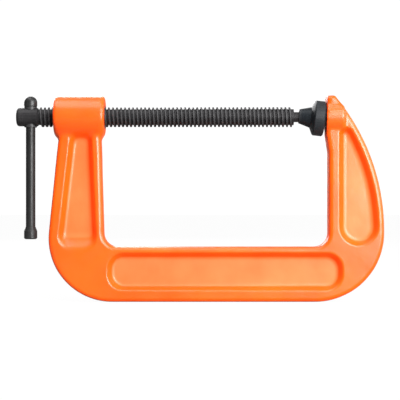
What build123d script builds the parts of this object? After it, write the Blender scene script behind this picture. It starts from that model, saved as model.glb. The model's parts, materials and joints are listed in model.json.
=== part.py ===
from build123d import *
import os
from math import asin, ceil, cos, degrees, radians, sin, sqrt, tan

# A screw C-clamp with a cast frame, an opening of 6 inches and a throat of 4 inches.
# +X runs along the screw from the handle to the anvil, +Z up from the spine, Y across the frame.
# The origin is on the underside of the spine, midway between the screw's head and the right arm.

os.makedirs("parts", exist_ok=True)

# ---- Driving dimensions (mm) ----

# Screw axis and thread: 5/8 inch, 8 turns to the inch, 29 degree trapezoidal, right-hand
AXIS_Z = 146.05
THREAD_DIAMETER = 15.875
PITCH = 3.175
THREAD_DEPTH = 1.6
FLANK_ANGLE = 14.5
CREST_WIDTH = 0.37 * PITCH
THREAD_CLEARANCE = 0.28
TURNS_PER_SPAN = 16

# Frame outline. The left arm's sides are given where they meet the screw axis and the spine.
LEFT_SIDE_AT_AXIS, LEFT_SIDE_AT_FOOT = -109.9, -124.9
LEFT_INNER_AT_AXIS, LEFT_INNER_AT_FOOT = -78.8, -75.95
SPINE_TOP = 43.2
RIGHT_SIDE = 145.3
RIGHT_INNER = 101.6
FRAME_TOP = 162.85
LEFT_CORNER_RADIUS = 50.0
RIGHT_CORNER_RADIUS = 54.5
RIGHT_STRAIGHT_TOP = 56.0
RIGHT_ARC_RADIUS = 166.0
INNER_CORNER_RADIUS = 11.0
TOP_CORNER_RADIUS = 3.5
ANVIL_LIP_DROP = 13.6
ANVIL_LIP_RUN = 14.5
ANVIL_LIP_RADIUS = 6.0

# Frame section: flanges, a web between them and pockets in both faces
FLANGE_THICKNESS = 19.05
WEB_THICKNESS = 8.0
EDGE_RADIUS = 3.2
POCKET_DRAFT = 35.0
POCKET_FOOT_RADIUS = 2.5
POCKET_BRINK_RADIUS = 0.8
LEFT_POCKET = [(-101.4, 140.0), (-112.9, 40.0), (-80.8, 40.0), (-85.4, 140.0)]
LEFT_POCKET_RADIUS = 12.0
SPINE_POCKET = [(-73.0, 8.9), (112.6, 8.9), (112.6, 38.8), (-73.0, 38.8)]
SPINE_POCKET_RADIUS = 13.0
RIGHT_POCKET_LEFT = 109.6
RIGHT_POCKET_TOP = 137.6
RIGHT_POCKET_FOOT = 59.8
RIGHT_POCKET_TOP_RADIUS = 4.6
RIGHT_POCKET_RIM = 4.7

# Tapped boss on the left arm
BOSS_LEFT, BOSS_RIGHT = -115.4, -75.3
BOSS_DIAMETER = 33.2
BOSS_EDGE_RADIUS = 2.6
BORE_CHAMFER = 1.2

# Anvil on the right arm
ANVIL_DIAMETER = 27.0
ANVIL_RIGHT = 113.9
ANVIL_EDGE_RADIUS = 1.5
ANVIL_LEAN = 1.5

# Screw
HEAD_LEFT, HEAD_RIGHT = -145.3, -128.8
HEAD_DIAMETER = 14.7
HEAD_EDGE_RADIUS = 2.2
THREAD_START, THREAD_END = -127.8, 74.2
NECK_DIAMETER = 8.0
BALL_DIAMETER = 11.6
BALL_X = 85.2

# Handle bar, which hangs by its knob from the top of the head
BAR_X = -134.4
BAR_DIAMETER = 7.5
BAR_BOTTOM = 49.3
BAR_CLEARANCE = 0.1
SWELL_DIAMETER = 10.0
SWELL_LENGTH = 16.2
UPSET_DIAMETER = 10.4
UPSET_LENGTH = 6.4
UPSET_TAPER = 3.6
UPSET_CHAMFER = 0.9
SPIGOT_DIAMETER = 5.0
SPIGOT_LENGTH = 5.0
KNOB_DIAMETER = 10.5
KNOB_HEIGHT = 8.5
KNOB_EDGE = 0.6
SEAT_GAP = 0.05

# Swivel pad, along its own axis from the ball's centre. It hangs on the ball with its face turned
# down by PAD_LEAN, so its upper edge meets the anvil first.
PAD_LEAN = 6.5
PAD_DIAMETER = 27.8
PAD_FACE = 13.35
PAD_RIM_LENGTH = 7.7
PAD_EDGE = 0.9
COLLAR_FOOT = 2.4
COLLAR_FOOT_DIAMETER = 16.4
COLLAR_END = -6.8
COLLAR_END_DIAMETER = 11.2
COLLAR_MOUTH_DIAMETER = 9.9
SOCKET_CLEARANCE = 0.1

# ---- Worked out from them ----

flange_half = FLANGE_THICKNESS / 2
web_half = WEB_THICKNESS / 2
crest_radius = THREAD_DIAMETER / 2
root_radius = crest_radius - THREAD_DEPTH
helix_start = THREAD_START + PITCH / 2
screw_axis = Axis((0, 0, AXIS_Z), (1, 0, 0))
bar_axis = Axis((BAR_X, 0, 0), (0, 0, 1))
pad_direction = Vector(cos(radians(PAD_LEAN)), 0, -sin(radians(PAD_LEAN)))
pad_upward = Vector(sin(radians(PAD_LEAN)), 0, cos(radians(PAD_LEAN)))
ball_centre = Vector(BALL_X, 0, AXIS_Z)
pad_edge = ball_centre + pad_direction * PAD_FACE + pad_upward * (PAD_DIAMETER / 2 - PAD_EDGE)
right_arc_angle = degrees(asin((FRAME_TOP - RIGHT_STRAIGHT_TOP) / RIGHT_ARC_RADIUS))


def anvil_face_x(z):
    """Where the leaning anvil face stands at a height."""
    return pad_edge.X + SEAT_GAP + (z - pad_edge.Z) * tan(radians(ANVIL_LEAN))


def thread_tooth(start, length, radial_gap, side_gap):
    """One helical trapezoidal tooth about the screw axis, its foot sunk below the root.

    It is swept in spans of whole turns, so that no face winds round the axis too often.
    """
    sunk = 0.3
    crest = THREAD_DEPTH + radial_gap
    half_crest = CREST_WIDTH / 2 + side_gap
    half_foot = CREST_WIDTH / 2 + (THREAD_DEPTH + sunk) * tan(radians(FLANK_ANGLE)) + side_gap
    span = TURNS_PER_SPAN * PITCH
    with BuildPart() as tooth:
        with BuildLine() as path:
            for done in range(ceil(length / span)):
                span_start = start + done * span
                span_length = min(span, length - done * span)
                Helix(
                    PITCH,
                    span_length,
                    root_radius,
                    center=(span_start, 0, AXIS_Z),
                    direction=(1, 0, 0),
                )
        first = path.edges().sort_by(Axis.X)[0]
        outward = Vector(0, (first @ 0).Y, (first @ 0).Z - AXIS_Z).normalized()
        with BuildSketch(Plane(first @ 0, x_dir=outward, z_dir=first % 0)):
            with BuildLine():
                Polyline(
                    (-sunk, -half_foot),
                    (crest, -half_crest),
                    (crest, half_crest),
                    (-sunk, half_foot),
                    close=True,
                )
            make_face()
        sweep(is_frenet=True)
    return tooth.part


def pocket_plug(outline):
    """The solid that a pocket removes: drafted walls and a rounded foot."""
    with BuildPart() as plug:
        extrude(outline, amount=-(flange_half - web_half), taper=POCKET_DRAFT)
        fillet(plug.edges().group_by(Axis.Y)[-1], POCKET_FOOT_RADIUS)
    return plug.part


# ---- Frame ----

with BuildSketch(Plane.XZ) as frame_outline:
    with BuildLine():
        lip_bottom = AXIS_Z - ANVIL_LIP_DROP
        right_arc = JernArc(
            (RIGHT_SIDE, RIGHT_STRAIGHT_TOP), (0, 1), RIGHT_ARC_RADIUS, right_arc_angle
        )
        Polyline(
            right_arc @ 1,
            (anvil_face_x(FRAME_TOP), FRAME_TOP),
            (anvil_face_x(lip_bottom), lip_bottom),
            (RIGHT_INNER, lip_bottom - ANVIL_LIP_RUN),
            (RIGHT_INNER, SPINE_TOP),
            (LEFT_INNER_AT_FOOT, SPINE_TOP),
            (LEFT_INNER_AT_AXIS, AXIS_Z),
            (LEFT_SIDE_AT_AXIS, AXIS_Z),
            (LEFT_SIDE_AT_FOOT, 0),
            (RIGHT_SIDE, 0),
            right_arc @ 0,
        )
    make_face()
    rounded_corners = [
        (LEFT_SIDE_AT_FOOT, 0, LEFT_CORNER_RADIUS),
        (RIGHT_SIDE, 0, RIGHT_CORNER_RADIUS),
        (LEFT_INNER_AT_FOOT, SPINE_TOP, INNER_CORNER_RADIUS),
        (RIGHT_INNER, SPINE_TOP, INNER_CORNER_RADIUS),
        (RIGHT_INNER, lip_bottom - ANVIL_LIP_RUN, INNER_CORNER_RADIUS),
        (anvil_face_x(lip_bottom), lip_bottom, ANVIL_LIP_RADIUS),
        (anvil_face_x(FRAME_TOP), FRAME_TOP, TOP_CORNER_RADIUS),
        ((right_arc @ 1).X, FRAME_TOP, TOP_CORNER_RADIUS),
    ]
    for x, z, radius in rounded_corners:
        fillet(frame_outline.vertices().sort_by_distance((x, z, 0))[0], radius)

with BuildSketch(Plane.XZ.offset(flange_half)) as left_pocket:
    with BuildLine():
        Polyline(*LEFT_POCKET, close=True)
    make_face()
    fillet(left_pocket.vertices().group_by(Axis.Y)[0], LEFT_POCKET_RADIUS)

with BuildSketch(Plane.XZ.offset(flange_half)) as spine_pocket:
    with BuildLine():
        Polyline(*SPINE_POCKET, close=True)
    make_face()
    fillet(spine_pocket.vertices(), SPINE_POCKET_RADIUS)

with BuildSketch(Plane.XZ.offset(flange_half)) as right_pocket:
    with BuildLine():
        rim_radius = RIGHT_ARC_RADIUS - RIGHT_POCKET_RIM
        foot_angle = degrees(asin((RIGHT_POCKET_FOOT - RIGHT_STRAIGHT_TOP) / rim_radius))
        top_angle = degrees(asin((RIGHT_POCKET_TOP - RIGHT_STRAIGHT_TOP) / rim_radius))
        arc_centre = (RIGHT_SIDE - RIGHT_ARC_RADIUS, RIGHT_STRAIGHT_TOP)
        rim = CenterArc(arc_centre, rim_radius, foot_angle, top_angle - foot_angle)
        Polyline(
            rim @ 1,
            (RIGHT_POCKET_LEFT, RIGHT_POCKET_TOP),
            (RIGHT_POCKET_LEFT, RIGHT_POCKET_FOOT),
        )
        bottom_radius = ((rim @ 0).X - RIGHT_POCKET_LEFT) / 2
        ThreePointArc(
            (RIGHT_POCKET_LEFT, RIGHT_POCKET_FOOT),
            (RIGHT_POCKET_LEFT + bottom_radius, RIGHT_POCKET_FOOT - bottom_radius),
            rim @ 0,
        )
    make_face()
    fillet(right_pocket.vertices().group_by(Axis.Y)[-1], RIGHT_POCKET_TOP_RADIUS)

anvil_centre = Vector(anvil_face_x(AXIS_Z), 0, AXIS_Z)
anvil_normal = Vector(cos(radians(ANVIL_LEAN)), 0, -sin(radians(ANVIL_LEAN)))
with BuildPart() as anvil:
    with BuildSketch(Plane.YZ.offset(ANVIL_RIGHT)):
        with Locations((0, AXIS_Z)):
            Circle(ANVIL_DIAMETER / 2)
    extrude(amount=-2 * (ANVIL_RIGHT - anvil_centre.X))
    fillet(anvil.edges().group_by(Axis.X)[-1], ANVIL_EDGE_RADIUS)
    split(bisect_by=Plane(anvil_centre, z_dir=anvil_normal), keep=Keep.TOP)
    with BuildSketch(Plane.XZ):
        add(frame_outline.sketch_local)
    extrude(amount=ANVIL_DIAMETER, both=True, mode=Mode.INTERSECT)

with BuildPart() as boss:
    with BuildSketch(Plane.YZ.offset(BOSS_LEFT)):
        with Locations((0, AXIS_Z)):
            Circle(BOSS_DIAMETER / 2)
    extrude(amount=BOSS_RIGHT - BOSS_LEFT)
    fillet(boss.edges().filter_by(GeomType.CIRCLE), BOSS_EDGE_RADIUS)

turns_before_boss = ceil((BOSS_LEFT - PITCH - helix_start) / PITCH)
nut_thread = thread_tooth(
    helix_start + turns_before_boss * PITCH,
    BOSS_RIGHT - BOSS_LEFT + 3 * PITCH,
    THREAD_CLEARANCE,
    THREAD_CLEARANCE,
)

with BuildPart() as frame:
    add(extrude(frame_outline.sketch, amount=flange_half, both=True, mode=Mode.PRIVATE))
    fillet(frame.edges().group_by(Axis.Y)[0] + frame.edges().group_by(Axis.Y)[-1], EDGE_RADIUS)
    for pocket in (left_pocket, spine_pocket, right_pocket):
        plug = pocket_plug(pocket.sketch)
        add(plug, mode=Mode.SUBTRACT)
        add(mirror(plug, about=Plane.XZ, mode=Mode.PRIVATE), mode=Mode.SUBTRACT)
    flanks = frame.faces().filter_by(Axis.Y).group_by(SortBy.AREA)[-1]
    fillet([e for f in flanks for w in f.inner_wires() for e in w.edges()], POCKET_BRINK_RADIUS)
    add(boss.part)
    add(anvil.part)
    with BuildSketch(Plane.YZ.offset(BOSS_LEFT)):
        with Locations((0, AXIS_Z)):
            Circle(root_radius + THREAD_CLEARANCE)
    extrude(amount=BOSS_RIGHT - BOSS_LEFT, mode=Mode.SUBTRACT)
    mouths = frame.edges().filter_by(GeomType.CIRCLE).filter_by(
        lambda e: abs(e.radius - root_radius - THREAD_CLEARANCE) < 0.01
    )
    chamfer(mouths, THREAD_DEPTH + BORE_CHAMFER)
    add(nut_thread, mode=Mode.SUBTRACT)
frame.part.label = "frame"
export_step(frame.part, "parts/frame.step")

# ---- Screw ----

screw_thread = thread_tooth(helix_start, THREAD_END - THREAD_START - PITCH, 0, 0)

with BuildPart() as screw:
    with BuildSketch(Plane.XZ) as screw_half:
        with BuildLine():
            head_radius, neck_radius = HEAD_DIAMETER / 2, NECK_DIAMETER / 2
            ball_radius = BALL_DIAMETER / 2
            ball_start = BALL_X - sqrt(ball_radius**2 - neck_radius**2)
            Polyline(
                (BALL_X + ball_radius, AXIS_Z),
                (HEAD_LEFT, AXIS_Z),
                (HEAD_LEFT, AXIS_Z + head_radius),
                (HEAD_RIGHT, AXIS_Z + head_radius),
                (HEAD_RIGHT + head_radius - root_radius, AXIS_Z + root_radius),
                (THREAD_END, AXIS_Z + root_radius),
                (THREAD_END, AXIS_Z + neck_radius),
                (ball_start, AXIS_Z + neck_radius),
            )
            ThreePointArc(
                (ball_start, AXIS_Z + neck_radius),
                (BALL_X, AXIS_Z + ball_radius),
                (BALL_X + ball_radius, AXIS_Z),
            )
        make_face()
        head_corner = screw_half.vertices().sort_by_distance(
            (HEAD_LEFT, AXIS_Z + head_radius, 0)
        )[0]
        fillet(head_corner, HEAD_EDGE_RADIUS)
    revolve(axis=screw_axis)
    with BuildSketch(Plane.XY.offset(AXIS_Z - SWELL_LENGTH / 2)):
        with Locations((BAR_X, 0)):
            Circle(SWELL_DIAMETER / 2)
    extrude(amount=SWELL_LENGTH)
    with BuildSketch(Plane.XY.offset(AXIS_Z - SWELL_LENGTH / 2)):
        with Locations((BAR_X, 0)):
            Circle(BAR_DIAMETER / 2 + BAR_CLEARANCE)
    extrude(amount=SWELL_LENGTH, mode=Mode.SUBTRACT)
    add(screw_thread)
screw.part.label = "screw"
export_step(screw.part, "parts/screw.step")

# ---- Handle bar and its upper knob ----

seat_z = AXIS_Z + SWELL_LENGTH / 2 + SEAT_GAP

with BuildPart() as handle_bar:
    with BuildSketch(Plane.XZ):
        with BuildLine():
            bar_radius, upset_radius = BAR_DIAMETER / 2, UPSET_DIAMETER / 2
            spigot_radius = SPIGOT_DIAMETER / 2
            shoulder = BAR_BOTTOM + UPSET_LENGTH
            Polyline(
                (BAR_X, BAR_BOTTOM),
                (BAR_X + upset_radius - UPSET_CHAMFER, BAR_BOTTOM),
                (BAR_X + upset_radius, BAR_BOTTOM + UPSET_CHAMFER),
                (BAR_X + upset_radius, shoulder),
                (BAR_X + bar_radius, shoulder + UPSET_TAPER),
                (BAR_X + bar_radius, seat_z),
                (BAR_X + spigot_radius, seat_z),
                (BAR_X + spigot_radius, seat_z + SPIGOT_LENGTH),
                (BAR_X, seat_z + SPIGOT_LENGTH),
                close=True,
            )
        make_face()
    revolve(axis=bar_axis)
handle_bar.part.label = "handle_bar"
export_step(handle_bar.part, "parts/handle_bar.step")

with BuildPart() as handle_end_cap:
    with BuildSketch(Plane.XZ):
        with BuildLine():
            knob_radius = KNOB_DIAMETER / 2
            equator = seat_z + KNOB_HEIGHT - knob_radius
            Polyline(
                (BAR_X, seat_z + KNOB_HEIGHT),
                (BAR_X, seat_z + SPIGOT_LENGTH + SEAT_GAP),
                (BAR_X + spigot_radius, seat_z + SPIGOT_LENGTH + SEAT_GAP),
                (BAR_X + spigot_radius, seat_z),
                (BAR_X + knob_radius - KNOB_EDGE, seat_z),
                (BAR_X + knob_radius, seat_z + KNOB_EDGE),
                (BAR_X + knob_radius, equator),
            )
            CenterArc((BAR_X, equator), knob_radius, start_angle=0, arc_size=90)
        make_face()
    revolve(axis=bar_axis)
handle_end_cap.part.label = "handle_end_cap"
export_step(handle_end_cap.part, "parts/handle_end_cap.step")

# ---- Swivel pad, its collar rolled in over the ball ----

pad_plane = Plane(ball_centre, x_dir=pad_direction, z_dir=(0, -1, 0))
with BuildPart() as swivel_pad:
    with BuildSketch(pad_plane):
        with BuildLine():
            pad_radius, foot_radius = PAD_DIAMETER / 2, COLLAR_FOOT_DIAMETER / 2
            end_radius, mouth_radius = COLLAR_END_DIAMETER / 2, COLLAR_MOUTH_DIAMETER / 2
            socket_radius = ball_radius + SOCKET_CLEARANCE
            mouth_start = -sqrt(socket_radius**2 - mouth_radius**2)
            rim_back = PAD_FACE - PAD_RIM_LENGTH
            Polyline(
                (COLLAR_END, end_radius),
                (COLLAR_FOOT, foot_radius),
                (rim_back - PAD_EDGE, pad_radius - PAD_EDGE),
                (rim_back, pad_radius),
                (PAD_FACE - PAD_EDGE, pad_radius),
                (PAD_FACE, pad_radius - PAD_EDGE),
                (PAD_FACE, 0),
                (socket_radius, 0),
            )
            ThreePointArc(
                (socket_radius, 0), (0, socket_radius), (mouth_start, mouth_radius)
            )
            Polyline(
                (mouth_start, mouth_radius), (COLLAR_END, mouth_radius), (COLLAR_END, end_radius)
            )
        make_face()
    revolve(axis=Axis(ball_centre, pad_direction))
swivel_pad.part.label = "swivel_pad"
export_step(swivel_pad.part, "parts/swivel_pad.step")
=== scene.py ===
import json
import math

import bmesh
import bpy
import numpy as np
from mathutils import Matrix, Vector, noise


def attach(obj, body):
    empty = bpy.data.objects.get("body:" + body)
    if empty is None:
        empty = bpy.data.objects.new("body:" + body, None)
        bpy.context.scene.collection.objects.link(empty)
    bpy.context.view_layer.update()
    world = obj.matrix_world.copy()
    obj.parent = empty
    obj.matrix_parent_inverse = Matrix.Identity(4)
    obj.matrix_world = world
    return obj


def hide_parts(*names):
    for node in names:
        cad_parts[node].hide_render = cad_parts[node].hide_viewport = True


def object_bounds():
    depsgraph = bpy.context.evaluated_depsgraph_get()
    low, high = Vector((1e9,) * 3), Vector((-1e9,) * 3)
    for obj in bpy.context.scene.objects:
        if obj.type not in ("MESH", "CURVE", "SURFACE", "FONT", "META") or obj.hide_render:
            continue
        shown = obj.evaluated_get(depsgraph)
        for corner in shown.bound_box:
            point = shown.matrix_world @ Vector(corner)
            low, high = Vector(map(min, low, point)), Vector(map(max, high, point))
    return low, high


# The look of an orange cast C-clamp with a black steel screw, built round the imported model.
# Lengths are in metres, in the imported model's frame: +X along the screw, +Z up, Y across the frame.

MM = 0.001

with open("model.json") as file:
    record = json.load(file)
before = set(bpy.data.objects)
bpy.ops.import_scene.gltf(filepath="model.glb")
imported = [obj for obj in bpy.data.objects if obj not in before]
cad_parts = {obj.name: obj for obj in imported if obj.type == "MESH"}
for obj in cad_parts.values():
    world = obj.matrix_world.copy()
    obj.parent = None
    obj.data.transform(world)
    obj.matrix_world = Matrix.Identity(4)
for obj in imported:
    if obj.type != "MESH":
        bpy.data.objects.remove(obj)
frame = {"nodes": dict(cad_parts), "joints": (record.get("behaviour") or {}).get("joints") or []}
cad_low, cad_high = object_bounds()
cad_centre = (cad_low + cad_high) / 2

# ---- Sizes shared with the CAD model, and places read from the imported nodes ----

TURN = 2 * math.pi
THREAD_RADIUS = 7.9375 * MM
PITCH = 3.175 * MM
THREAD_DEPTH = 1.6 * MM
THREAD_CLEARANCE = 0.28 * MM
FLANK_SLOPE = math.tan(math.radians(14.5))
CREST_WIDTH = 0.37 * PITCH
BORE_MOUTH_RADIUS = 9.42 * MM
FLANGE_HALF = 9.525 * MM
BOSS_RADIUS = 16.6 * MM
TOP_CORNER_RADIUS = 3.5 * MM

hinge = next(joint for joint in frame["joints"] if joint["name"] == "screw_turn")
axis_z = hinge["pos_m"][2]


def read_vertices(mesh, attribute="co"):
    """The places or the normals of a mesh's vertices, as an array."""
    values = np.empty(len(mesh.vertices) * 3)
    mesh.vertices.foreach_get(attribute, values)
    return values.reshape(-1, 3)


def write_places(mesh, places):
    """Moves a mesh's vertices to new places."""
    mesh.vertices.foreach_set("co", places.ravel())
    mesh.update()


def from_axis(places):
    """Distances from the screw's axis."""
    return np.hypot(places[:, 1], places[:, 2] - axis_z)


frame_points = read_vertices(frame["nodes"]["frame"].data)
in_bore = (from_axis(frame_points) < BORE_MOUTH_RADIUS + 0.1 * MM) & (frame_points[:, 0] < 0)
boss_start, boss_end = frame_points[in_bore, 0].min(), frame_points[in_bore, 0].max()


# ---- Camera, floor and light ----

def make_camera(distance=1.0, lens=113.4, height=0.0803):
    """A level camera square to the clamp's front face. The lens is in millimetres."""
    data = bpy.data.cameras.new("camera")
    data.lens = lens
    data.sensor_width = 36.0
    camera = bpy.data.objects.new("camera", data)
    bpy.context.collection.objects.link(camera)
    camera.location = (0, -distance, height)
    camera.rotation_euler = (math.radians(90), 0, 0)
    bpy.context.scene.camera = camera


def make_softbox(name, place, width, height, radiance):
    """A white rectangular softbox of a given radiance, aimed at the middle of the clamp."""
    data = bpy.data.lights.new(name, "AREA")
    data.shape = "RECTANGLE"
    data.size, data.size_y = width, height
    data.energy = radiance * math.pi * width * height
    lamp = bpy.data.objects.new(name, data)
    bpy.context.collection.objects.link(lamp)
    lamp.location = place
    aim = Vector((0, 0, cad_centre.z)) - lamp.location
    lamp.rotation_euler = aim.to_track_quat("-Z", "Y").to_euler()


def add_node(tree, kind, **values):
    """A shader node, with its sockets set by name and its own properties set by lower-case name."""
    made = tree.nodes.new(kind)
    for name, value in values.items():
        socket = name.replace("_", " ")
        if socket in made.inputs:
            made.inputs[socket].default_value = value
        else:
            setattr(made, name, value)
    return made


def make_world():
    """White behind the object, and a grey room, darker below, for what lights it and what it reflects."""
    world = bpy.data.worlds.new("studio")
    bpy.context.scene.world = world
    world.use_nodes = True
    tree = world.node_tree
    tree.nodes.clear()
    link = tree.links.new
    output = add_node(tree, "ShaderNodeOutputWorld")
    mix = add_node(tree, "ShaderNodeMixShader")
    path = add_node(tree, "ShaderNodeLightPath")
    white = add_node(tree, "ShaderNodeBackground", Color=(1, 1, 1, 1), Strength=1.05)
    room = add_node(tree, "ShaderNodeBackground", Strength=1.0)
    place = add_node(tree, "ShaderNodeTexCoord")
    split = add_node(tree, "ShaderNodeSeparateXYZ")
    ramp = add_node(tree, "ShaderNodeValToRGB")
    ramp.color_ramp.elements[0].position = 0.45
    ramp.color_ramp.elements[0].color = (0.06, 0.06, 0.06, 1)
    ramp.color_ramp.elements[1].position = 0.95
    ramp.color_ramp.elements[1].color = (0.50, 0.50, 0.50, 1)
    # 0 straight down, 0.5 at the horizon and 1 straight up.
    height = add_node(tree, "ShaderNodeMath", operation="MULTIPLY_ADD")
    height.inputs[1].default_value = 0.5
    height.inputs[2].default_value = 0.5
    link(place.outputs["Generated"], split.inputs[0])
    link(split.outputs["Z"], height.inputs[0])
    link(height.outputs[0], ramp.inputs[0])
    link(ramp.outputs[0], room.inputs["Color"])
    link(path.outputs["Is Camera Ray"], mix.inputs[0])
    link(room.outputs[0], mix.inputs[1])
    link(white.outputs[0], mix.inputs[2])
    link(mix.outputs[0], output.inputs[0])


def make_floor():
    """A plain pale floor that keeps only a faint shadow of the object."""
    mesh = bpy.data.meshes.new("floor")
    reach = 6.0
    corners = [(-reach, -reach, 0), (reach, -reach, 0), (reach, reach, 0), (-reach, reach, 0)]
    mesh.from_pydata(corners, [], [(0, 1, 2, 3)])
    floor = bpy.data.objects.new("floor", mesh)
    bpy.context.collection.objects.link(floor)
    floor.location.z = -0.2 * MM
    material = bpy.data.materials.new("pale_floor")
    material.use_nodes = True
    tree = material.node_tree
    tree.nodes.clear()
    link = tree.links.new
    output = add_node(tree, "ShaderNodeOutputMaterial")
    path = add_node(tree, "ShaderNodeLightPath")
    share = add_node(tree, "ShaderNodeMath", operation="MULTIPLY")
    share.inputs[1].default_value = 0.88
    matt = add_node(tree, "ShaderNodeBsdfDiffuse", Color=(0.20, 0.20, 0.20, 1))
    glow = add_node(tree, "ShaderNodeEmission", Color=(1, 1, 1, 1), Strength=1.1)
    mix = add_node(tree, "ShaderNodeMixShader")
    link(path.outputs["Is Camera Ray"], share.inputs[0])
    link(share.outputs[0], mix.inputs[0])
    link(matt.outputs[0], mix.inputs[1])
    link(glow.outputs[0], mix.inputs[2])
    link(mix.outputs[0], output.inputs[0])
    mesh.materials.append(material)


make_camera()
make_world()
make_floor()
make_softbox("key", place=(0.60, -0.80, 0.50), width=0.95, height=0.95, radiance=7.2)
make_softbox("side", place=(0.64, -1.15, 0.24), width=0.7, height=0.5, radiance=14.0)
make_softbox("top", place=(-0.25, -0.30, 1.2), width=1.2, height=0.7, radiance=3.7)
make_softbox("right_rim", place=(1.1, 0.25, 0.4), width=0.5, height=0.8, radiance=3.0)
make_softbox("back_fill", place=(-0.5, 1.2, 0.7), width=1.0, height=0.9, radiance=5.5)


# ---- The casting: the CAD frame's shape with blended corners, a run-out pocket and a parting line ----

VOXEL = 0.95 * MM
WELD = 0.002 * MM
TOLERANCE = 0.02 * MM
PLUG_OVERLAP = 0.5 * MM
TAP_STEP = 0.29 * MM
TAP_COLUMNS = 72
WAVE_HEIGHT = 0.07 * MM
RIDGE_HEIGHT = 0.16 * MM
RIDGE_HALF_WIDTH = 0.9 * MM
BOSS_BLEND_WIDTH = 2.6 * MM
# The left arm's pocket, the nearest that it comes to the middle plane, and the heights between which
# its foot runs out to the flange's face.
POCKET_OUTER, POCKET_INNER = -117 * MM, -77 * MM
POCKET_LOWEST = 34 * MM
POCKET_DEEPEST = 3.2 * MM
RUN_OUT_LOW, RUN_OUT_HIGH = 40 * MM, 54 * MM
RUN_OUT_SHARE = 0.92


def edge_pairs(mesh):
    """The two vertex numbers of each edge."""
    pairs = np.empty(len(mesh.edges) * 2, dtype=np.int64)
    mesh.edges.foreach_get("vertices", pairs)
    return pairs.reshape(-1, 2)


def relax(places, pairs, share, rounds):
    """Moves each point towards the middle of its neighbours, by its own share."""
    near, far = pairs[:, 0], pairs[:, 1]
    total = len(places)
    degree = np.bincount(near, minlength=total) + np.bincount(far, minlength=total)
    for _ in range(rounds):
        for side in range(3):
            value = places[:, side]
            summed = np.bincount(near, value[far], total) + np.bincount(far, value[near], total)
            places[:, side] = value + share * (summed / degree - value)


def smooth_step(value, low, high):
    """0 below low, 1 above high, and a soft rise between."""
    share = np.clip((value - low) / (high - low), 0, 1)
    return share * share * (3 - 2 * share)


def bell(value, width):
    """1 at zero, falling off softly on both sides."""
    return np.exp(-(value / width) ** 2)


def apply_modifiers(piece):
    """Replaces a piece's mesh by the result of its modifiers."""
    depsgraph = bpy.context.evaluated_depsgraph_get()
    result = bpy.data.meshes.new_from_object(piece.evaluated_get(depsgraph))
    piece.modifiers.clear()
    piece.data = result


def make_even_skin():
    """The CAD frame with its bore plugged, as one evenly meshed skin."""
    mesh = frame["nodes"]["frame"].data.copy()
    bm = bmesh.new()
    bm.from_mesh(mesh)
    bmesh.ops.remove_doubles(bm, verts=bm.verts, dist=WELD)
    plug_middle = Matrix.Translation(((boss_start + boss_end) / 2, 0, axis_z))
    plug_place = plug_middle @ Matrix.Rotation(math.radians(90), 4, "Y")
    plug_radius = BORE_MOUTH_RADIUS + PLUG_OVERLAP
    bmesh.ops.create_cone(bm, cap_ends=True, segments=64, radius1=plug_radius, radius2=plug_radius,
                          depth=boss_end - boss_start, matrix=plug_place)
    bm.to_mesh(mesh)
    bm.free()
    casting = bpy.data.objects.new("frame_casting", mesh)
    bpy.context.collection.objects.link(casting)
    remesh = casting.modifiers.new("remesh", "REMESH")
    remesh.mode = "VOXEL"
    remesh.voxel_size = VOXEL
    apply_modifiers(casting)
    return casting


def round_edges(places, pairs):
    """Softens every edge. The outward step after each inward one keeps the shape from shrinking."""
    for _ in range(5):
        relax(places, pairs, 0.5, 1)
        relax(places, pairs, -0.53, 1)


def fill_corner(places, centre_x, centre_z, low, high, gain):
    """Fills out a rounded corner of the outline, between two directions from its centre in degrees."""
    beside, above = places[:, 0] - centre_x, places[:, 2] - centre_z
    share = np.clip((np.degrees(np.arctan2(above, beside)) - low) / (high - low), 0, 1)
    distance = np.hypot(beside, above)
    near = 1 - smooth_step(distance, 1.1 * TOP_CORNER_RADIUS, 2.2 * TOP_CORNER_RADIUS)
    reach = gain * np.sin(np.pi * share) ** 2 * near
    places[:, 0] += reach * beside
    places[:, 2] += reach * above


def square_crown(places, pairs):
    """Squares off the two top corners of the right arm, and softens what that stretched."""
    crown = frame_points[(frame_points[:, 2] > cad_high.z - TOLERANCE) & (frame_points[:, 0] > 0)]
    left_x, right_x = crown[:, 0].min(), crown[:, 0].max()
    centre_z = cad_high.z - TOP_CORNER_RADIUS
    fill_corner(places, left_x, centre_z, low=90, high=180, gain=0.20)
    fill_corner(places, right_x, centre_z, low=30, high=90, gain=0.10)
    distance = np.hypot(places[:, 0] - left_x, places[:, 2] - centre_z)
    at_crown = 1 - smooth_step(distance, TOP_CORNER_RADIUS, 3 * TOP_CORNER_RADIUS)
    relax(places, pairs, 0.5 * at_crown, 4)


def blend_boss(places, pairs, radius):
    """Runs the boss into the arm under it with a small fillet. The radius is from the screw's axis."""
    below = smooth_step(axis_z - places[:, 2], 4 * MM, 9 * MM)
    at_left_arm = places[:, 0] < boss_end + 4 * MM
    at_meeting = bell(radius - BOSS_RADIUS - 0.3 * MM, BOSS_BLEND_WIDTH)
    relax(places, pairs, 0.6 * at_meeting * below * at_left_arm, 26)


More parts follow.
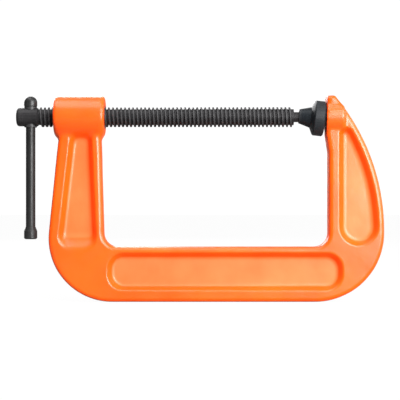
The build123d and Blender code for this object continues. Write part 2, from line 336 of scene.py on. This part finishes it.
def run_out_pocket(places, pairs):
    """Slopes the foot of the left arm's pocket out to the flange's face, on both sides."""
    along, across, height = places[:, 0], np.abs(places[:, 1]), places[:, 2]
    in_walls = (across > POCKET_DEEPEST) & (across < FLANGE_HALF - 0.1 * MM)
    in_pocket = in_walls & (along > POCKET_OUTER) & (along < POCKET_INNER) & (height > POCKET_LOWEST)
    from_rim = smooth_step(along, POCKET_OUTER, POCKET_OUTER + 5 * MM)
    foot = 1 - smooth_step(height, RUN_OUT_LOW, RUN_OUT_HIGH)
    outward = np.sign(places[:, 1]) * (FLANGE_HALF - across)
    places[:, 1] += RUN_OUT_SHARE * foot * from_rim * in_pocket * outward
    near_foot = bell(height - 45 * MM, 9 * MM) * in_pocket
    relax(places, pairs, 0.6 * near_foot, 14)


def cast_relief(places, normals, radius):
    """How far the surface stands proud: a faint waviness, and the parting line's ridge round the outline."""
    wave = np.array([noise.noise(Vector(place) * 70) + 0.5 * noise.noise(Vector(place) * 170)
                     for place in places])
    on_outline = 1 - smooth_step(np.abs(normals[:, 1]), 0.2, 0.5)
    off_base = smooth_step(places[:, 2], 0.8 * MM, 4 * MM)
    off_boss = smooth_step(radius, BOSS_RADIUS + 1 * MM, BOSS_RADIUS + 7 * MM)
    ridge = bell(places[:, 1], RIDGE_HALF_WIDTH) * on_outline * off_base * off_boss
    return WAVE_HEIGHT * wave * off_base * (0.35 + 0.65 * off_boss) + RIDGE_HEIGHT * ridge


def tap_radius(along, angle, phase):
    """The surface of the tapped bore: an internal trapezoidal thread that opens into conical mouths."""
    turn = (along / PITCH - angle / TURN - phase + 0.5) % 1 - 0.5
    half_crest = CREST_WIDTH / 2 + THREAD_CLEARANCE
    half_foot = half_crest + THREAD_DEPTH * FLANK_SLOPE
    rise = np.clip((half_foot - np.abs(turn) * PITCH) / (half_foot - half_crest), 0, 1)
    thread = THREAD_RADIUS - THREAD_DEPTH + THREAD_CLEARANCE + THREAD_DEPTH * rise
    into_boss = np.minimum(along - boss_start, boss_end - along)
    return np.maximum(thread, BORE_MOUTH_RADIUS - into_boss)


def thread_phase():
    """Where the screw's thread crest stands, as a share of a turn."""
    places = read_vertices(frame["nodes"]["screw"].data)
    in_middle = np.abs(places[:, 0]) < 50 * MM
    crest = places[(from_axis(places) > THREAD_RADIUS - TOLERANCE) & in_middle]
    angle = np.arctan2(crest[:, 2] - axis_z, crest[:, 1])
    turned = TURN * (crest[:, 0] / PITCH) - angle
    return math.atan2(np.sin(turned).mean(), np.cos(turned).mean()) / TURN


def make_tap():
    """A closed solid of the tapped bore, a little longer than the boss."""
    past_end = 1.5 * MM
    along = np.arange(boss_start - past_end, boss_end + past_end, TAP_STEP)
    angles = np.linspace(0, TURN, TAP_COLUMNS, endpoint=False)
    grid_x, grid_angle = np.meshgrid(along, angles, indexing="ij")
    radius = tap_radius(grid_x, grid_angle, thread_phase())
    places = np.stack([grid_x, radius * np.cos(grid_angle), axis_z + radius * np.sin(grid_angle)], axis=-1)
    rows, columns = grid_x.shape
    faces = []
    for row in range(rows - 1):
        for column in range(columns):
            beside = (column + 1) % columns
            faces.append((row * columns + column, row * columns + beside,
                          (row + 1) * columns + beside, (row + 1) * columns + column))
    faces.append(tuple(reversed(range(columns))))
    faces.append(tuple(range((rows - 1) * columns, rows * columns)))
    mesh = bpy.data.meshes.new("tap")
    mesh.from_pydata(places.reshape(-1, 3).tolist(), [], faces)
    bm = bmesh.new()
    bm.from_mesh(mesh)
    bmesh.ops.recalc_face_normals(bm, faces=bm.faces)
    bm.to_mesh(mesh)
    bm.free()
    tap = bpy.data.objects.new("tap", mesh)
    bpy.context.collection.objects.link(tap)
    return tap


def cut_bore(casting):
    """Cuts the tapped bore out of the casting."""
    tap = make_tap()
    cut = casting.modifiers.new("tapped_bore", "BOOLEAN")
    cut.operation = "DIFFERENCE"
    cut.solver = "EXACT"
    cut.object = tap
    apply_modifiers(casting)
    bpy.data.objects.remove(tap)


def make_casting():
    """The whole casting, which stands for the CAD frame."""
    casting = make_even_skin()
    mesh = casting.data
    pairs = edge_pairs(mesh)
    places = read_vertices(mesh)
    round_edges(places, pairs)
    square_crown(places, pairs)
    radius = from_axis(places)
    blend_boss(places, pairs, radius)
    run_out_pocket(places, pairs)
    write_places(mesh, places)

    normals = read_vertices(mesh, "normal")
    places += normals * cast_relief(places, normals, radius)[:, None]
    places[:, 2] = np.maximum(places[:, 2], 0)
    write_places(mesh, places)

    cut_bore(casting)
    casting.data.shade_smooth()
    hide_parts("frame")
    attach(casting, "frame")
    return casting


# ---- Materials ----

# Base colours, in linear light.
PAINT, PAINT_LIGHT = (0.95, 0.080, 0.0010), (0.98, 0.100, 0.0020)
# Lighter paint that is a painted sheen: it stands for a light's reflection on the pockets' floors.
FLOOR_SHEEN_PAINT, FLOOR_SHEEN_PAINT_LIGHT = (0.98, 0.118, 0.016), (0.99, 0.158, 0.034)
# Darker paint in hollows: pooled paint and painted shade in the creases.
POOLED_PAINT_AND_SHADE = (0.80, 0.052, 0.002)
# Lighter paint on brinks: thin paint and a painted highlight on the convex edges.
THIN_PAINT_AND_HIGHLIGHT = (1.0, 0.16, 0.015)
BARE_STEEL = (0.22, 0.21, 0.20)
RUBBED_OXIDE = (0.045, 0.044, 0.045)
WORN_OXIDE = (0.060, 0.060, 0.062)
# Distances from the middle plane: the lighter, duller paint is full under the first and gone past the
# second. The pockets' floors and the middle of the outline's sides have it. Its lighter colour is a painted
# sheen, which stands for a light's reflection on these faces.
FLOOR_DEPTH, WALL_DEPTH = 4.3 * MM, 5.4 * MM
# Fine marks, in cells to a metre along X, Y and Z: round a piece turned about X, along a bar drawn
# along Z, and round a piece turned about Z.
TURNED = (2600, 60, 60)
DRAWN = (2600, 2600, 25)
TURNED_UP = (60, 60, 2000)


def new_material(name):
    """A new material, its node tree and its shader."""
    material = bpy.data.materials.new(name)
    material.use_nodes = True
    tree = material.node_tree
    return material, tree, tree.nodes["Principled BSDF"]


def object_place(tree, scale=(1, 1, 1)):
    """The piece's own coordinates in metres, stretched by a scale."""
    place = add_node(tree, "ShaderNodeTexCoord")
    stretch = add_node(tree, "ShaderNodeMapping")
    stretch.inputs["Scale"].default_value = scale
    tree.links.new(place.outputs["Object"], stretch.inputs["Vector"])
    return stretch.outputs[0]


def noise_value(tree, scale, detail=3.0, roughness=0.5, stretch=(1, 1, 1)):
    """A cloudy value about 0.5, in the piece's own coordinates. The scale is cells to a metre."""
    grain = add_node(tree, "ShaderNodeTexNoise", Scale=scale, Detail=detail, Roughness=roughness)
    tree.links.new(object_place(tree, stretch), grain.inputs["Vector"])
    return grain.outputs["Fac"]


def ranged(tree, value, low, high, to_low, to_high, smooth=False):
    """Maps a value from one range to another, clamped."""
    node = add_node(tree, "ShaderNodeMapRange")
    if smooth:
        node.interpolation_type = "SMOOTHSTEP"
    for socket, number in zip(("From Min", "From Max", "To Min", "To Max"), (low, high, to_low, to_high)):
        node.inputs[socket].default_value = number
    tree.links.new(value, node.inputs["Value"])
    return node.outputs["Result"]


def combine(tree, operation, first, second):
    """One arithmetic step on two values, each a number or a socket."""
    node = add_node(tree, "ShaderNodeMath", operation=operation)
    for socket, value in zip(node.inputs, (first, second)):
        if isinstance(value, (int, float)):
            socket.default_value = value
        else:
            tree.links.new(value, socket)
    return node.outputs[0]


def mix_colour(tree, share, first, second):
    """A mix of two colours, each a tuple or a socket."""
    node = add_node(tree, "ShaderNodeMix", data_type="RGBA")
    tree.links.new(share, node.inputs["Factor"])
    for socket, value in ((node.inputs[6], first), (node.inputs[7], second)):
        if isinstance(value, tuple):
            socket.default_value = (*value, 1)
        else:
            tree.links.new(value, socket)
    return node.outputs[2]


def add_bump(tree, height, distance, strength, normal=None):
    """A surface normal tilted by a height, on top of another normal where one is given."""
    bump = add_node(tree, "ShaderNodeBump", Strength=strength, Distance=distance)
    tree.links.new(height, bump.inputs["Height"])
    if normal is not None:
        tree.links.new(normal, bump.inputs["Normal"])
    return bump.outputs[0]


def axis_distance(tree):
    """Distance from the screw's axis, and the piece's own coordinates one by one."""
    split = add_node(tree, "ShaderNodeSeparateXYZ")
    tree.links.new(object_place(tree), split.inputs[0])
    height = combine(tree, "SUBTRACT", split.outputs["Z"], axis_z)
    squares = combine(tree, "ADD", combine(tree, "MULTIPLY", split.outputs["Y"], split.outputs["Y"]),
                      combine(tree, "MULTIPLY", height, height))
    return combine(tree, "SQRT", squares, 0.0), split


def make_enamel():
    """Glossy orange enamel over a cast surface, with bare steel in the tapped bore, a painted sheen on the
    pockets' floors, painted shade in creases and painted highlights on brinks.
    """
    material, tree, shader = new_material("orange_enamel")
    link = tree.links.new
    cloud = ranged(tree, noise_value(tree, 28, 3), 0.35, 0.65, 0.0, 1.0)
    radius, split = axis_distance(tree)
    depth = combine(tree, "ABSOLUTE", split.outputs["Y"], 0.0)
    # Painted sheen: lighter paint near the middle plane stands for a light's reflection on the pockets'
    # floors.
    sheen_and_dull_share = ranged(tree, depth, FLOOR_DEPTH, WALL_DEPTH, 1.0, 0.0, smooth=True)
    paint = mix_colour(tree, cloud, PAINT, PAINT_LIGHT)
    floor_sheen_paint = mix_colour(tree, cloud, FLOOR_SHEEN_PAINT, FLOOR_SHEEN_PAINT_LIGHT)
    paint = mix_colour(tree, sheen_and_dull_share, paint, floor_sheen_paint)
    geometry = add_node(tree, "ShaderNodeNewGeometry")
    # Pooled paint and painted shade: darker in concave creases.
    hollow_shade = ranged(tree, geometry.outputs["Pointiness"], 0.42, 0.49, 0.75, 0.0, smooth=True)
    pooled_and_shaded = mix_colour(tree, hollow_shade, paint, POOLED_PAINT_AND_SHADE)
    # Thin paint and a painted highlight: lighter on convex brinks.
    brink_highlight = ranged(tree, geometry.outputs["Pointiness"], 0.51, 0.58, 0.0, 0.25, smooth=True)
    thinned_and_lit = mix_colour(tree, brink_highlight, pooled_and_shaded, THIN_PAINT_AND_HIGHLIGHT)

    soft = 0.3 * MM
    near_axis = ranged(tree, radius, BORE_MOUTH_RADIUS - soft, BORE_MOUTH_RADIUS + soft, 1.0, 0.0)
    left_half = ranged(tree, split.outputs["X"], -50 * MM, -40 * MM, 1.0, 0.0)
    bare = combine(tree, "MULTIPLY", near_axis, left_half)
    link(mix_colour(tree, bare, thinned_and_lit, BARE_STEEL), shader.inputs["Base Color"])
    link(bare, shader.inputs["Metallic"])
    link(ranged(tree, bare, 0.0, 1.0, 0.24, 0.0), shader.inputs["Coat Weight"])
    shader.inputs["Coat Roughness"].default_value = 0.16
    shader.inputs["Specular IOR Level"].default_value = 0.36
    gloss = ranged(tree, noise_value(tree, 120, 2), 0.3, 0.7, 0.29, 0.37)
    duller = combine(tree, "MULTIPLY", sheen_and_dull_share, 0.17)
    link(combine(tree, "ADD", gloss, duller), shader.inputs["Roughness"])

    sand = add_bump(tree, noise_value(tree, 420, 4, 0.6), 0.10 * MM, 0.5)
    peel = add_bump(tree, noise_value(tree, 1500, 2, 0.4), 0.02 * MM, 0.5, sand)
    link(peel, shader.inputs["Normal"])
    link(add_bump(tree, noise_value(tree, 700, 1), 0.01 * MM, 0.4), shader.inputs["Coat Normal"])
    return material


def make_oxide(name, tint, lines, shine, polish=0.0, crests=False):
    """Black oxide on turned or drawn steel. The lines say how many fine marks it has along each axis."""
    material, tree, shader = new_material(name)
    link = tree.links.new
    cloud = ranged(tree, noise_value(tree, 90, 4, 0.6), 0.3, 0.7, 0.0, 1.0)
    dark = tuple(0.72 * part for part in tint)
    colour = mix_colour(tree, cloud, dark, tint)
    marks = noise_value(tree, 1.0, 2, 0.5, lines)
    scratched = ranged(tree, marks, 0.55, 0.8, 0.0, 0.5)
    colour = mix_colour(tree, scratched, colour, tuple(2.2 * part for part in tint))
    geometry = add_node(tree, "ShaderNodeNewGeometry")
    if crests:
        radius, _ = axis_distance(tree)
        rubbed = ranged(tree, radius, THREAD_RADIUS - 0.35 * MM, THREAD_RADIUS - 0.02 * MM, 0.0, 1.0)
        patches = ranged(tree, noise_value(tree, 260, 3, 0.6), 0.35, 0.6, 0.25, 1.0)
        colour = mix_colour(tree, combine(tree, "MULTIPLY", rubbed, patches), colour, RUBBED_OXIDE)
    edge = ranged(tree, geometry.outputs["Pointiness"], 0.52, 0.62, 0.0, 0.5)
    colour = mix_colour(tree, edge, colour, WORN_OXIDE)
    link(colour, shader.inputs["Base Color"])
    shader.inputs["Metallic"].default_value = 0.15
    shader.inputs["Specular IOR Level"].default_value = shine
    gloss = ranged(tree, noise_value(tree, 160, 3), 0.3, 0.7, 0.34 - polish, 0.46 - polish)
    link(gloss, shader.inputs["Roughness"])
    fine = add_bump(tree, marks, 0.02 * MM, 0.35)
    link(add_bump(tree, noise_value(tree, 300, 3), 0.03 * MM, 0.35, fine), shader.inputs["Normal"])
    return material


def put_material(piece, material):
    """Gives a piece one material all over."""
    if not piece.material_slots:
        piece.data.materials.append(material)
    for slot in piece.material_slots:
        slot.material = material


put_material(make_casting(), make_enamel())
steel = {
    "screw": make_oxide("oxide_screw", (0.020, 0.019, 0.020), TURNED, shine=0.17, crests=True),
    "handle_bar": make_oxide("oxide_bar", (0.020, 0.020, 0.020), DRAWN, shine=0.26, polish=0.03),
    "handle_end_cap": make_oxide("oxide_knob", (0.022, 0.022, 0.022), TURNED_UP, shine=0.32, polish=0.05),
    "swivel_pad": make_oxide("oxide_pad", (0.013, 0.016, 0.019), TURNED, shine=0.12),
}
for node, material in steel.items():
    put_material(frame["nodes"][node], material)

bpy.context.scene.view_settings.view_transform = "Standard"
